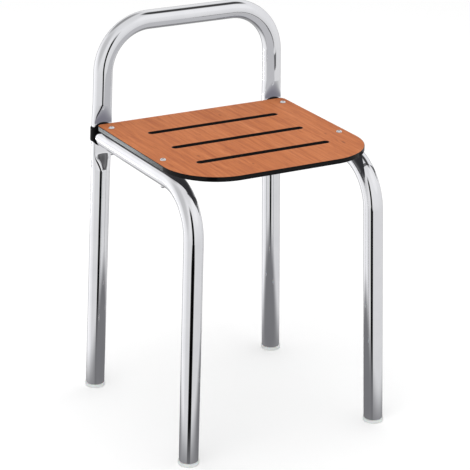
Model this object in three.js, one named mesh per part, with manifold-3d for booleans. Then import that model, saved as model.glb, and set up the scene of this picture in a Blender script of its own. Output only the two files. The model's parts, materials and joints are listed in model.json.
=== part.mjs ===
// Shower stool: a low-backed stool of chrome-plated round tube with a slotted laminate seat.
//
// Frame: millimetres, +Z up, the floor at z = 0. The sitter faces -Y, and -X is the left
// side as seen from the front. The origin lies on the floor, midway between the four feet.
//
// Structure: one inverted U of tube makes both rear legs and the low back. Each front leg
// is a tube that bends back under the seat as its side rail. Each rear leg is pressed flat
// on its front where the rail meets it. The rail's end is cut to that shape, stands off it
// on a black spacer, and is held by a bolt that passes through the rear leg into an insert.
// The seat is screwed down through both rails.

import * as THREE from 'three';
import { mergeVertices } from 'three/addons/utils/BufferGeometryUtils.js';
import Module from 'manifold-3d';

const wasm = await Module();
wasm.setup();

// ---- Driving dimensions -------------------------------------------------------------

const FIT_GAP = 0.3; // left between any two pieces that touch
const OVERSHOOT = 2; // how far a cutter runs past what it cuts

const TUBE_RADIUS = 16;
const TUBE_WALL = 1.5;

const SEAT_TOP = 480;
const SEAT_THICKNESS = 8;
const SEAT_HALF_WIDTH = 181;
const SEAT_FRONT_Y = -169;
const SEAT_REAR_Y = 159.7;
const SEAT_FRONT_CORNER = 92; // plan radius of the front corners
const SEAT_REAR_CORNER = 9; // plan radius of the rear corners

const SLOT_COUNT = 3;
const SLOT_LENGTH = 246; // overall, round ends included
const SLOT_WIDTH = 12;
const SLOT_PITCH = 83.2; // from slot to slot, front to back
const SLOT_MIDDLE_Y = -1.2;

const FOOT_HALF_SPAN = 178.3; // from the middle to each leg's axis at the floor
const FOOT_HALF_DEPTH = 171.5; // the same, front to back
const LEG_SPLAY = 0.0278; // sideways run of every leg for each unit of height
const FRONT_LEG_LEAN = 0.0358; // backward run of a front leg for each unit of height

const BACK_TOP_Z = 647.2; // axis of the tube across the top of the back
const BACK_BEND_RADIUS = 83.4;
const RAIL_BEND_RADIUS = 81;
const RAIL_Z = SEAT_TOP - SEAT_THICKNESS - FIT_GAP - TUBE_RADIUS;

const PRESS_FLAT = 6.6; // from a rear leg's axis to the flat pressed on its front
const PRESS_WIDEN = 0.08; // by how much of its width the pressed leg grows
const PRESS_FULL = 28; // half the height over which it is pressed all the way
const PRESS_REACH = 58; // half the height over which it is out of round
const PRESS_SOFTENING = 0.15; // of the creases where each run-out starts and ends
const PRESS_STATIONS = 4; // rings in each run-out, from fully pressed to round
const PRESS_SHARPNESS = 6; // of the turn from the flat to the round sides

const GLIDE_HEIGHT = 6; // the part of a foot glide that shows below its tube
const GLIDE_RADIUS = 17.5;
const GLIDE_EDGE = 1.5; // rounding at the glide's lower edge
const GLIDE_PLUG_LENGTH = 24;

const SCREW_FRONT_Y = -49.3;
const SCREW_REAR_Y = 133.4;
const SCREW_SHANK_RADIUS = 2.5;
const SCREW_HEAD_RADIUS = 4.75;
const SCREW_HEAD_HEIGHT = 2.6;
const SCREW_HEAD_RIM = 0.6; // upright part of the head's edge
const SCREW_SOCKET_RADIUS = 1.75;
const SCREW_SOCKET_DEPTH = 1.4;

const NUT_HALF_FLATS = 4;
const NUT_HEX_HEIGHT = 3.6;
const NUT_DOME_HEIGHT = 3;
const NUT_DOME_RADIUS = 3.7;
const SCREW_IN_NUT = 4.4; // how far a screw's end goes into its nut

const SPACER_THICKNESS = 1.6;
const SPACER_RADIUS = 20.5; // of the disc that is bent round the leg
const SPACER_RISE = 5; // from the rail's axis up to the disc's centre
const SPACER_WRAP = 4.5; // how far it reaches behind the leg's axis

const BOLT_RADIUS = 4;
const BOLT_HEAD_RADIUS = 6.5;
const BOLT_HEAD_HEIGHT = 3.8;
const BOLT_HEAD_RIM = 0.8; // upright part of the head's edge
const BOLT_SOCKET_RADIUS = 2.5;
const BOLT_SOCKET_DEPTH = 2.2;
const BOLT_CLEAR_RADIUS = BOLT_RADIUS + FIT_GAP;
const INSERT_LENGTH = 17; // along the rail's axis, measured from the leg's face
const BOLT_IN_INSERT = 15; // the bolt's reach past the leg's face

const TUBE_SIDES = 28;
const SMALL_SIDES = 20;
const PLAN_ARC_SIDES = 16; // of each round corner or end in the seat's plan
const BEND_STEPS = 8;
const STRAIGHT = 1e-3; // a turn in radians too small to be a bend

// ---- Places worked out from them ----------------------------------------------------

const SIDES = [
  { name: 'left', sign: -1 },
  { name: 'right', sign: 1 },
];

// Distance of a leg's axis from the middle plane, at a height.
const legX = (z) => FOOT_HALF_SPAN - LEG_SPLAY * z;
// Front-to-back place of a front leg's axis, at a height.
const frontLegY = (z) => -FOOT_HALF_DEPTH + FRONT_LEG_LEAN * z;

const RAIL_X = legX(RAIL_Z);
const REAR_LEG_Y = FOOT_HALF_DEPTH;
const SADDLE_RADIUS = TUBE_RADIUS + FIT_GAP + SPACER_THICKNESS + FIT_GAP;
const TUBE_END_Z = GLIDE_HEIGHT + FIT_GAP;

const SCREW_PLACES = [];
for (const side of SIDES) {
  SCREW_PLACES.push({ name: `front_${side.name}`, x: side.sign * RAIL_X, y: SCREW_FRONT_Y });
  SCREW_PLACES.push({ name: `rear_${side.name}`, x: side.sign * RAIL_X, y: SCREW_REAR_Y });
}

// ---- Materials ----------------------------------------------------------------------

const material = (color, metalness, roughness) => () =>
  new THREE.MeshStandardMaterial({ color, metalness, roughness });

const chrome = material(0xd9dade, 1, 0.08);
const laminate = material(0xb9744c, 0, 0.4);
const blackPlastic = material(0x131313, 0, 0.45);
const whitePlastic = material(0xe4e4e2, 0, 0.4);
const stainless = material(0xc4c5c7, 1, 0.25);

// ---- Solids -------------------------------------------------------------------------

// A closed geometry as a solid that can be cut and joined.
function solid(geometry) {
  const bare = geometry.index ? geometry.clone() : geometry;
  bare.deleteAttribute('normal');
  bare.deleteAttribute('uv');
  const merged = mergeVertices(bare, 1e-4);
  return new wasm.Manifold(
    new wasm.Mesh({
      numProp: 3,
      vertProperties: new Float32Array(merged.attributes.position.array),
      triVerts: new Uint32Array(merged.index.array),
    }),
  );
}

// A solid back as a geometry for a mesh.
function geometryOf(body) {
  const mesh = body.getMesh();
  const geometry = new THREE.BufferGeometry();
  geometry.setAttribute('position', new THREE.BufferAttribute(mesh.vertProperties, 3));
  geometry.setIndex(new THREE.BufferAttribute(mesh.triVerts, 1));
  geometry.computeVertexNormals();
  return geometry;
}

// A rod of round section from one point to another.
function rodGeometry(from, to, radius, sides) {
  const axis = new THREE.Vector3().subVectors(to, from);
  const geometry = new THREE.CylinderGeometry(radius, radius, axis.length(), sides);
  const turn = new THREE.Quaternion().setFromUnitVectors(
    new THREE.Vector3(0, 1, 0),
    axis.clone().normalize(),
  );
  geometry.applyQuaternion(turn);
  geometry.translate((from.x + to.x) / 2, (from.y + to.y) / 2, (from.z + to.z) / 2);
  return geometry;
}

// The same as a solid.
function rod(from, to, radius, sides = SMALL_SIDES) {
  return solid(rodGeometry(from, to, radius, sides));
}

// An upright hexagonal prism on the Z axis, its size given from the axis to a corner.
function hexPrism(corner, foot, top) {
  const geometry = new THREE.CylinderGeometry(corner, corner, top - foot, 6);
  return solid(geometry.rotateX(Math.PI / 2).translate(0, 0, (foot + top) / 2));
}

// A turned piece. The profile's points are [radius, height] up the +Z axis, closed on it.
function turned(profile, sides = SMALL_SIDES) {
  const points = profile.map(([radius, height]) => new THREE.Vector2(radius, height));
  return new THREE.LatheGeometry(points, sides).rotateX(Math.PI / 2);
}

// Points of a round shoulder, a quarter ellipse from the rim [radius, foot] to the axis.
function domeProfile(radius, foot, height, steps = 6) {
  const points = [];
  for (let i = 0; i <= steps; i += 1) {
    const angle = (i / steps) * (Math.PI / 2);
    points.push([i === steps ? 0 : radius * Math.cos(angle), foot + height * Math.sin(angle)]);
  }
  return points;
}

// ---- Bent tubes ---------------------------------------------------------------------

// A tube's centre line: straight runs through the given corners, each rounded to a radius.
// Its stations lie at the ends, at corners on a straight run and round the bends, and
// nowhere else, which keeps the tube's facets few.
class BentLine extends THREE.Curve {
  constructor(corners, radius) {
    super();
    this.stations = [];
    const last = corners.length - 1;
    const heading = (a, b) => new THREE.Vector3().subVectors(b, a).normalize();
    this.stations.push({ point: corners[0], tangent: heading(corners[0], corners[1]) });
    for (let i = 1; i < last; i += 1) {
      const before = heading(corners[i - 1], corners[i]);
      const after = heading(corners[i], corners[i + 1]);
      if (before.angleTo(after) < STRAIGHT) {
        this.stations.push({ point: corners[i], tangent: before });
      } else {
        this.addBend(corners[i], before, after, radius);
      }
    }
    this.stations.push({ point: corners[last], tangent: heading(corners[last - 1], corners[last]) });
  }

  addBend(corner, before, after, radius) {
    const turn = before.angleTo(after);
    const inward = after.clone().sub(before).normalize();
    const centre = corner.clone().addScaledVector(inward, radius / Math.cos(turn / 2));
    const start = corner.clone().addScaledVector(before, -radius * Math.tan(turn / 2));
    const spoke = start.clone().sub(centre);
    const axis = before.clone().cross(after).normalize();
    for (let i = 0; i <= BEND_STEPS; i += 1) {
      const angle = (turn * i) / BEND_STEPS;
      this.stations.push({
        point: centre.clone().add(spoke.clone().applyAxisAngle(axis, angle)),
        tangent: before.clone().applyAxisAngle(axis, angle),
      });
    }
  }

  get steps() {
    return this.stations.length - 1;
  }

  station(t) {
    return this.stations[Math.round(t * this.steps)];
  }

  getPoint(t, target = new THREE.Vector3()) {
    return target.copy(this.station(t).point);
  }

  getTangent(t, target = new THREE.Vector3()) {
    return target.copy(this.station(t).tangent);
  }

  getUtoTmapping(u) {
    return u;
  }
}

// A hollow round tube along a bent line, open at both ends.
function tubeGeometry(line) {
  const section = new THREE.Shape();
  section.absarc(0, 0, TUBE_RADIUS, 0, Math.PI * 2, false);
  const bore = new THREE.Path();
  bore.absarc(0, 0, TUBE_RADIUS - TUBE_WALL, 0, Math.PI * 2, true);
  section.holes.push(bore);
  return new THREE.ExtrudeGeometry(section, {
    steps: line.steps,
    curveSegments: TUBE_SIDES / 2, // an arc gets two sides for each of these
    extrudePath: line,
  });
}

// ---- The pressed part of a rear leg -------------------------------------------------

// How far a rear leg is pressed at a height, from 0 where it is round to 1.
function pressAmount(z) {
  const distance = Math.abs(z - RAIL_Z);
  const soft = 1 - THREE.MathUtils.smoothstep(distance, PRESS_FULL, PRESS_REACH);
  const straight = (PRESS_REACH - distance) / (PRESS_REACH - PRESS_FULL);
  const ramp = THREE.MathUtils.clamp(straight, 0, 1);
  return THREE.MathUtils.lerp(ramp, soft, PRESS_SOFTENING);
}

// Presses a round shape about the rear leg's axis: wider, and flat on its front. A shape of
// another radius than the tube's keeps its distance from the tube's own surface.
function pressed(geometry, amountAt) {
  const place = geometry.attributes.position;
  for (let i = 0; i < place.count; i += 1) {
    const z = place.getZ(i);
    const amount = amountAt(z);
    const axisX = Math.sign(place.getX(i)) * legX(z);
    const side = place.getX(i) - axisX;
    const ahead = REAR_LEG_Y - place.getY(i);
    place.setX(i, axisX + side * (1 + PRESS_WIDEN * amount));
    if (amount > 0 && ahead > 0) {
      const flat = PRESS_FLAT + Math.hypot(side, ahead) - TUBE_RADIUS;
      const power = -PRESS_SHARPNESS;
      const flattened = (ahead ** power + flat ** power) ** (1 / power);
      place.setY(i, REAR_LEG_Y - THREE.MathUtils.lerp(ahead, flattened, amount));
    }
  }
  return geometry;
}

// A block under the tubes that trims every leg level with the top of its glide.
function floorCutter(x, y) {
  const halfWidth = TUBE_RADIUS * 2;
  const depth = TUBE_END_Z + TUBE_RADIUS; // reaches below the slanted end of every tube
  const block = new THREE.BoxGeometry(halfWidth * 2, halfWidth * 2, depth);
  block.translate(x, y, TUBE_END_Z - depth / 2);
  return solid(block);
}

// The hole that the joint bolt passes through, from behind the leg to past the insert.
function boltClearance(sign) {
  const front = REAR_LEG_Y - TUBE_RADIUS - INSERT_LENGTH - OVERSHOOT;
  const from = new THREE.Vector3(sign * RAIL_X, front, RAIL_Z);
  const to = new THREE.Vector3(sign * RAIL_X, REAR_LEG_Y + TUBE_RADIUS + OVERSHOOT, RAIL_Z);
  return rod(from, to, BOLT_CLEAR_RADIUS);
}

// A length of the rear leg in its pressed form, as a cutter or core of any radius.
function rearLegRod(sign, radius, below, above) {
  const at = (z) => new THREE.Vector3(sign * legX(z), REAR_LEG_Y, z);
  const round = rodGeometry(at(RAIL_Z - below), at(RAIL_Z + above), radius, TUBE_SIDES);
  return solid(pressed(round, () => 1));
}

// Heights of the rings that shape the pressed part, from the floor up.
function pressHeights() {
  const above = [];
  for (let i = 0; i <= PRESS_STATIONS; i += 1) {
    above.push(THREE.MathUtils.lerp(PRESS_FULL, PRESS_REACH, i / PRESS_STATIONS));
  }
  const below = above.map((offset) => -offset).reverse();
  return [...below, ...above].map((offset) => RAIL_Z + offset);
}

function rearFrame() {
  const at = (sign, z) => new THREE.Vector3(sign * legX(z), REAR_LEG_Y, z);
  const leg = (sign) => [0, ...pressHeights(), BACK_TOP_Z].map((z) => at(sign, z));
  const line = new BentLine([...leg(-1), ...leg(1).reverse()], BACK_BEND_RADIUS);
  let body = solid(pressed(tubeGeometry(line), pressAmount));
  for (const { sign } of SIDES) {
    body = body.subtract(floorCutter(sign * FOOT_HALF_SPAN, REAR_LEG_Y));
    body = body.subtract(boltClearance(sign));
  }
  return geometryOf(body);
}

function frontLeg(sign) {
  const line = new BentLine(
    [
      new THREE.Vector3(sign * legX(0), frontLegY(0), 0),
      new THREE.Vector3(sign * RAIL_X, frontLegY(RAIL_Z), RAIL_Z),
      new THREE.Vector3(sign * RAIL_X, REAR_LEG_Y, RAIL_Z),
    ],
    RAIL_BEND_RADIUS,
  );
  const reach = TUBE_RADIUS + OVERSHOOT;
  let body = solid(tubeGeometry(line))
    .subtract(floorCutter(sign * FOOT_HALF_SPAN, -FOOT_HALF_DEPTH))
    .subtract(rearLegRod(sign, SADDLE_RADIUS, reach, reach));
  for (const y of [SCREW_FRONT_Y, SCREW_REAR_Y]) {
    const from = new THREE.Vector3(sign * RAIL_X, y, RAIL_Z - reach);
    const to = new THREE.Vector3(sign * RAIL_X, y, RAIL_Z + reach);
    body = body.subtract(rod(from, to, SCREW_SHANK_RADIUS + FIT_GAP));
  }
  return geometryOf(body);
}

// ---- Seat ---------------------------------------------------------------------------

// The panel's plan: a rectangle with large front corners and small rear ones.
function seatOutline() {
  const shape = new THREE.Shape();
  const front = SEAT_FRONT_CORNER;
  const rear = SEAT_REAR_CORNER;
  const w = SEAT_HALF_WIDTH;
  shape.moveTo(-w + front, SEAT_FRONT_Y);
  shape.absarc(w - front, SEAT_FRONT_Y + front, front, -Math.PI / 2, 0, false);
  shape.absarc(w - rear, SEAT_REAR_Y - rear, rear, 0, Math.PI / 2, false);
  shape.absarc(-w + rear, SEAT_REAR_Y - rear, rear, Math.PI / 2, Math.PI, false);
  shape.absarc(-w + front, SEAT_FRONT_Y + front, front, Math.PI, Math.PI * 1.5, false);
  return shape;
}

// A slot with round ends, straight across the seat.
function slotPath(y) {
  const path = new THREE.Path();
  const radius = SLOT_WIDTH / 2;
  const reach = SLOT_LENGTH / 2 - radius;
  path.moveTo(-reach, y - radius);
  path.absarc(reach, y, radius, -Math.PI / 2, Math.PI / 2, false);
  path.absarc(-reach, y, radius, Math.PI / 2, Math.PI * 1.5, false);
  return path;
}

function seatPanel() {
  const shape = seatOutline();
  for (let i = 0; i < SLOT_COUNT; i += 1) {
    shape.holes.push(slotPath(SLOT_MIDDLE_Y + (i - (SLOT_COUNT - 1) / 2) * SLOT_PITCH));
  }
  for (const place of SCREW_PLACES) {
    const hole = new THREE.Path();
    hole.absarc(place.x, place.y, SCREW_SHANK_RADIUS + FIT_GAP, 0, Math.PI * 2, false);
    shape.holes.push(hole);
  }
  const geometry = new THREE.ExtrudeGeometry(shape, {
    depth: SEAT_THICKNESS,
    bevelEnabled: false,
    curveSegments: PLAN_ARC_SIDES / 2,
  });
  geometry.translate(0, 0, SEAT_TOP - SEAT_THICKNESS);
  return geometryOf(solid(geometry));
}

// ---- Fasteners and fittings ---------------------------------------------------------

// A domed screw with a hexagon socket, from above the seat down into its nut.
function seatScrew(place) {
  const underHead = SEAT_TOP + FIT_GAP;
  const tip = RAIL_Z - TUBE_RADIUS - FIT_GAP - SCREW_IN_NUT;
  const body = solid(
    turned([
      [0, tip],
      [SCREW_SHANK_RADIUS, tip],
      [SCREW_SHANK_RADIUS, underHead],
      [SCREW_HEAD_RADIUS, underHead],
      ...domeProfile(SCREW_HEAD_RADIUS, underHead + SCREW_HEAD_RIM, SCREW_HEAD_HEIGHT - SCREW_HEAD_RIM),
    ]),
  );
  const top = underHead + SCREW_HEAD_HEIGHT;
  const socket = hexPrism(SCREW_SOCKET_RADIUS, top - SCREW_SOCKET_DEPTH, top + OVERSHOOT);
  return geometryOf(body.subtract(socket).translate([place.x, place.y, 0]));
}

// A hexagon nut closed by a dome, under the rail.
function domeNut(place) {
  const top = RAIL_Z - TUBE_RADIUS - FIT_GAP;
  const hexFoot = top - NUT_HEX_HEIGHT;
  const corner = NUT_HALF_FLATS / Math.cos(Math.PI / 6);
  const rim = domeProfile(NUT_DOME_RADIUS, 0, NUT_DOME_HEIGHT).reverse();
  const dome = turned([
    ...rim.map(([radius, drop]) => [radius, hexFoot - drop]),
    [NUT_DOME_RADIUS, hexFoot + NUT_HEX_HEIGHT / 2],
    [0, hexFoot + NUT_HEX_HEIGHT / 2],
  ]);
  const bore = rod(
    new THREE.Vector3(0, 0, top - SCREW_IN_NUT - FIT_GAP),
    new THREE.Vector3(0, 0, top + OVERSHOOT),
    SCREW_SHANK_RADIUS + FIT_GAP,
  );
  const body = hexPrism(corner, hexFoot, top).add(solid(dome)).subtract(bore);
  return geometryOf(body.translate([place.x, place.y, 0]));
}

// A glide: a round pad on the floor and a plug that follows its leg up inside the tube.
function footGlide(sign, footY, lean) {
  const pad = solid(
    turned([
      [0, 0],
      [GLIDE_RADIUS - GLIDE_EDGE, 0],
      [GLIDE_RADIUS, GLIDE_EDGE],
      [GLIDE_RADIUS, GLIDE_HEIGHT],
      [0, GLIDE_HEIGHT],
    ], TUBE_SIDES),
  ).translate([sign * FOOT_HALF_SPAN, footY, 0]);
  const at = (z) => new THREE.Vector3(sign * legX(z), footY + lean * z, z);
  const plug = rod(
    at(GLIDE_HEIGHT / 2),
    at(GLIDE_HEIGHT + GLIDE_PLUG_LENGTH),
    TUBE_RADIUS - TUBE_WALL - FIT_GAP,
    TUBE_SIDES,
  );
  return geometryOf(pad.add(plug));
}

// A disc bent round the pressed front of the rear leg, between the leg and the rail's end.
function railSpacer(sign) {
  const reach = SPACER_RADIUS + SPACER_RISE + OVERSHOOT;
  const inner = TUBE_RADIUS + FIT_GAP;
  const shell = rearLegRod(sign, inner + SPACER_THICKNESS, reach, reach).subtract(
    rearLegRod(sign, inner, reach + OVERSHOOT, reach + OVERSHOOT),
  );
  const centreZ = RAIL_Z + SPACER_RISE;
  const disc = rod(
    new THREE.Vector3(sign * RAIL_X, REAR_LEG_Y - TUBE_RADIUS * 2, centreZ),
    new THREE.Vector3(sign * RAIL_X, REAR_LEG_Y + SPACER_WRAP, centreZ),
    SPACER_RADIUS,
    TUBE_SIDES,
  );
  return geometryOf(shell.intersect(disc).subtract(boltClearance(sign)));
}

// The threaded insert that fills the rail's end and takes the joint bolt.
function railInsert(sign) {
  const face = REAR_LEG_Y - TUBE_RADIUS;
  const body = rod(
    new THREE.Vector3(sign * RAIL_X, face - INSERT_LENGTH, RAIL_Z),
    new THREE.Vector3(sign * RAIL_X, REAR_LEG_Y, RAIL_Z),
    TUBE_RADIUS - TUBE_WALL - FIT_GAP,
    TUBE_SIDES,
  );
  const reach = TUBE_RADIUS + OVERSHOOT;
  const saddle = rearLegRod(sign, SADDLE_RADIUS, reach, reach);
  return geometryOf(body.subtract(saddle).subtract(boltClearance(sign)));
}

// The bolt that joins rail and rear leg, with its domed socket head behind the leg.
function jointBolt(sign) {
  const underHead = TUBE_RADIUS + FIT_GAP;
  const tip = -TUBE_RADIUS - BOLT_IN_INSERT;
  const body = solid(
    turned([
      [0, tip],
      [BOLT_RADIUS, tip],
      [BOLT_RADIUS, underHead],
      [BOLT_HEAD_RADIUS, underHead],
      ...domeProfile(BOLT_HEAD_RADIUS, underHead + BOLT_HEAD_RIM, BOLT_HEAD_HEIGHT - BOLT_HEAD_RIM),
    ]),
  );
  const top = underHead + BOLT_HEAD_HEIGHT;
  const socket = hexPrism(BOLT_SOCKET_RADIUS, top - BOLT_SOCKET_DEPTH, top + OVERSHOOT);
  const geometry = geometryOf(body.subtract(socket));
  geometry.rotateX(-Math.PI / 2);
  geometry.translate(sign * RAIL_X, REAR_LEG_Y, RAIL_Z);
  return geometry;
}

// ---- Assembly -----------------------------------------------------------------------

const stool = new THREE.Group();

function addPiece(name, geometry, material) {
  const mesh = new THREE.Mesh(geometry, material);
  mesh.name = name;
  stool.add(mesh);
}

addPiece('rear_frame', rearFrame(), chrome());
addPiece('seat_panel', seatPanel(), laminate());

for (const { name, sign } of SIDES) {
  addPiece(`front_leg_${name}`, frontLeg(sign), chrome());
  addPiece(`rail_spacer_${name}`, railSpacer(sign), blackPlastic());
  addPiece(`rail_insert_${name}`, railInsert(sign), stainless());
  addPiece(`joint_bolt_${name}`, jointBolt(sign), stainless());
  const frontGlide = footGlide(sign, -FOOT_HALF_DEPTH, FRONT_LEG_LEAN);
  addPiece(`foot_glide_front_${name}`, frontGlide, whitePlastic());
  addPiece(`foot_glide_rear_${name}`, footGlide(sign, FOOT_HALF_DEPTH, 0), whitePlastic());
}

for (const place of SCREW_PLACES) {
  addPiece(`seat_screw_${place.name}`, seatScrew(place), stainless());
  addPiece(`dome_nut_${place.name}`, domeNut(place), chrome());
}

export default stool;
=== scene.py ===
"""Looks for the shower stool: chrome tube, slotted wood-decor laminate, black spacers, white glides.

Units are metres, in the CAD's frame: +Z up, the floor at z = 0, the sitter facing -Y. Each
piece is a finer mesh that stands for the CAD node of the same name, and every place is read
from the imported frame. Only sizes that the boxes don't give are constants.
"""

import json
import math

import bpy
import numpy as np
from mathutils import Matrix, Vector
from mathutils.geometry import tessellate_polygon

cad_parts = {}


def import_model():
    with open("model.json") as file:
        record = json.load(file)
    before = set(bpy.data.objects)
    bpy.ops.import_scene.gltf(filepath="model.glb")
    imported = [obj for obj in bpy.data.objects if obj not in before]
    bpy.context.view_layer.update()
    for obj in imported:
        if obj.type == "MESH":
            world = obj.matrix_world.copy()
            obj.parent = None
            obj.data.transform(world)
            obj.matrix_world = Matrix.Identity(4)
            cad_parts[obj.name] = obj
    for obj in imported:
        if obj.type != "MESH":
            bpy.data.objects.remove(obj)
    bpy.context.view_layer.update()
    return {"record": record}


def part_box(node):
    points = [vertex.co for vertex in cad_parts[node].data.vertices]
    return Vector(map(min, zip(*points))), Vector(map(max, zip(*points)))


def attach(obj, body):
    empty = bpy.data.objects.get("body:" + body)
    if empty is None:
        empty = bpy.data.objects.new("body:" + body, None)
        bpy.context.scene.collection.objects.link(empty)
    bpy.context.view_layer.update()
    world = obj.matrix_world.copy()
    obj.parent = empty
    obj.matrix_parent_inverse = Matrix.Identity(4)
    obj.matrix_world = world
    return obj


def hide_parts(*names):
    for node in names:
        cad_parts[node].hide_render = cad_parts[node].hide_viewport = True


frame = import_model()

MM = 0.001

# ---- Sizes that the frame's boxes don't give ----------------------------------------

TUBE_RADIUS = 16 * MM
TUBE_WALL = 1.5 * MM
FIT_GAP = 0.3 * MM
BACK_BEND_RADIUS = 83.4 * MM
RAIL_BEND_RADIUS = 81 * MM
FRONT_LEG_LEAN = 0.0358
SEAT_FRONT_CORNER = 92 * MM
SEAT_REAR_CORNER = 9 * MM
SEAT_EDGE = 0.7 * MM  # radius of the seat's softened edges
SEAT_EDGE_STEPS = 6
SCREW_HOLE_RADIUS = 2.8 * MM
SLOT_LENGTH = 246 * MM
SLOT_WIDTH = 12 * MM
SPACER_THICKNESS = 1.6 * MM
SPACER_RADIUS = 20.5 * MM
SPACER_WRAP = 4.5 * MM
SPACER_ROWS, SPACER_COLUMNS = 25, 81
GLIDE_TOP = 6 * MM
GLIDE_RADIUS = 17.5 * MM
GLIDE_SOFT = 1.5 * MM  # radius of the glide's lower edge
GLIDE_LIP = 0.5 * MM  # and of its upper edge
GLIDE_DISH = 0.5 * MM
GLIDE_DISH_END, GLIDE_RING_START = 0.62, 0.68  # of the glide's radius
GLIDE_STEPS = 8
PLUG_RADIUS = TUBE_RADIUS - TUBE_WALL - FIT_GAP
PLUG_TAPER, PLUG_TAPER_HEIGHT = 0.93, 1 * MM
SOCKET_MOUTH = 1.3  # across a socket's countersink, of the socket
SOCKET_BEVEL, SOCKET_BEVEL_DEPTH = 1.06, 0.12 * MM
SOCKET_DRILL = 0.35 * MM
HEAD_UNDERSIDE = 0.3  # where a head's underside starts, of its radius
# A head's rim height, and its socket's corner radius and depth.
SEAT_SCREW_HEAD = (0.6 * MM, 1.75 * MM, 1.4 * MM)
JOINT_BOLT_HEAD = (0.8 * MM, 2.5 * MM, 2.2 * MM)
SEAT_SCREW_SHANK, SEAT_SCREW_BEVEL = 2.5 * MM, 0.4 * MM
JOINT_BOLT_SHANK = 4 * MM
NUT_HEX_HEIGHT, NUT_DOME, NUT_BORE = 3.6 * MM, 3.7 * MM, 3.0 * MM
NUT_FACE, NUT_TOP_BEVEL, NUT_FOOT_BEVEL = 0.97, 0.35 * MM, 0.3 * MM
POINT = 1e-6  # the radius at which a dome counts as closed
PRESS_FLAT = 6.6 * MM  # from a rear leg's axis to the flat pressed on its front
PRESS_WIDEN = 0.08  # by how much of its width the pressed leg grows
PRESS_FULL = 28 * MM  # half the height over which it is pressed all the way
PRESS_REACH = 58 * MM  # half the height over which it is out of round
PRESS_SOFTENING = 0.15
PRESS_STEP = 2 * MM
PRESS_SHARPNESS = 6

TUBE_SIDES = 72
TURNED_SIDES = 72
BEND_STEP = math.radians(2.5)
ARC_STEP = math.radians(3)
STRAIGHT = 1e-4  # turns below this, in radians, count as none
SHANK_SIDES = 64
WELD_CELLS = 2e6  # cells per metre: corners in the same cell are one vertex
HALF_SIDE = math.pi / 6  # half the angle that one side of a hexagon spans
QUARTER = math.pi / 2
UP = (0.0, 0.0, 1.0)

# ---- Places, read from the frame ----------------------------------------------------

MOUNTS = {m["name"]: m["pos_m"] for m in frame["record"]["mounts"]}
OPENINGS = {o["name"]: o["box_m"] for o in frame["record"]["physics"]["openings"]}
SIDES = (("left", -1), ("right", 1))
ENDS = ("front", "rear")


def middle(node):
    """The middle of a CAD node's box."""
    low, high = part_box(node)
    return (low + high) / 2


SEAT_LOW, SEAT_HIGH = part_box("seat_panel")
FOOT_X = MOUNTS["foot_rear_right"][0]
REAR_LEG_Y = MOUNTS["foot_rear_right"][1]
FRONT_FOOT_Y = MOUNTS["foot_front_right"][1]
BACK_TOP_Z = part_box("rear_frame")[1].z - TUBE_RADIUS
RAIL_X = middle("seat_screw_front_right").x
RAIL_Z = SEAT_LOW.z - FIT_GAP - TUBE_RADIUS
LEG_SPLAY = (FOOT_X - RAIL_X) / RAIL_Z
TUBE_END_Z = GLIDE_TOP + FIT_GAP
SADDLE_RADIUS = TUBE_RADIUS + FIT_GAP + SPACER_THICKNESS + FIT_GAP


def leg_x(z):
    """Distance of a leg's axis from the middle plane at a height."""
    return FOOT_X - LEG_SPLAY * z


# ---- The pressed part of a rear leg -------------------------------------------------


def press_amount(z):
    """How far a rear leg is pressed at a height, from 0 where it is round to 1."""
    ramp = (PRESS_REACH - abs(z - RAIL_Z)) / (PRESS_REACH - PRESS_FULL)
    ramp = min(1.0, max(0.0, ramp))
    soft = ramp * ramp * (3 - 2 * ramp)
    return ramp + (soft - ramp) * PRESS_SOFTENING


def pressed_point(point, amount):
    """A point about a rear leg's axis, moved as the pressing moves it: wider, flat in front."""
    x, y, z = point
    axis_x = math.copysign(leg_x(z), x)
    side, ahead = x - axis_x, REAR_LEG_Y - y
    if amount > 0 and ahead > 0:
        flat = PRESS_FLAT + math.hypot(side, ahead) - TUBE_RADIUS
        power = -PRESS_SHARPNESS
        flattened = (ahead**power + flat**power) ** (1 / power)
        y = REAR_LEG_Y - ahead - (flattened - ahead) * amount
    return np.array([axis_x + side * (1 + PRESS_WIDEN * amount), y, z])


def pressed_rows(rows):
    return np.array([[pressed_point(p, press_amount(p[2])) for p in row] for row in rows])


def surface_normals(rows, like, closed=True):
    """Normals of a grid of points, each on the same side as another normal."""
    if closed:
        around = np.roll(rows, -1, axis=1) - np.roll(rows, 1, axis=1)
    else:
        around = np.gradient(rows, axis=1)
    out = np.cross(around, np.gradient(rows, axis=0))
    out /= np.linalg.norm(out, axis=2)[:, :, None]
    return out * np.sign((out * like).sum(axis=2))[:, :, None]


# ---- Mesh building ------------------------------------------------------------------


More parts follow.
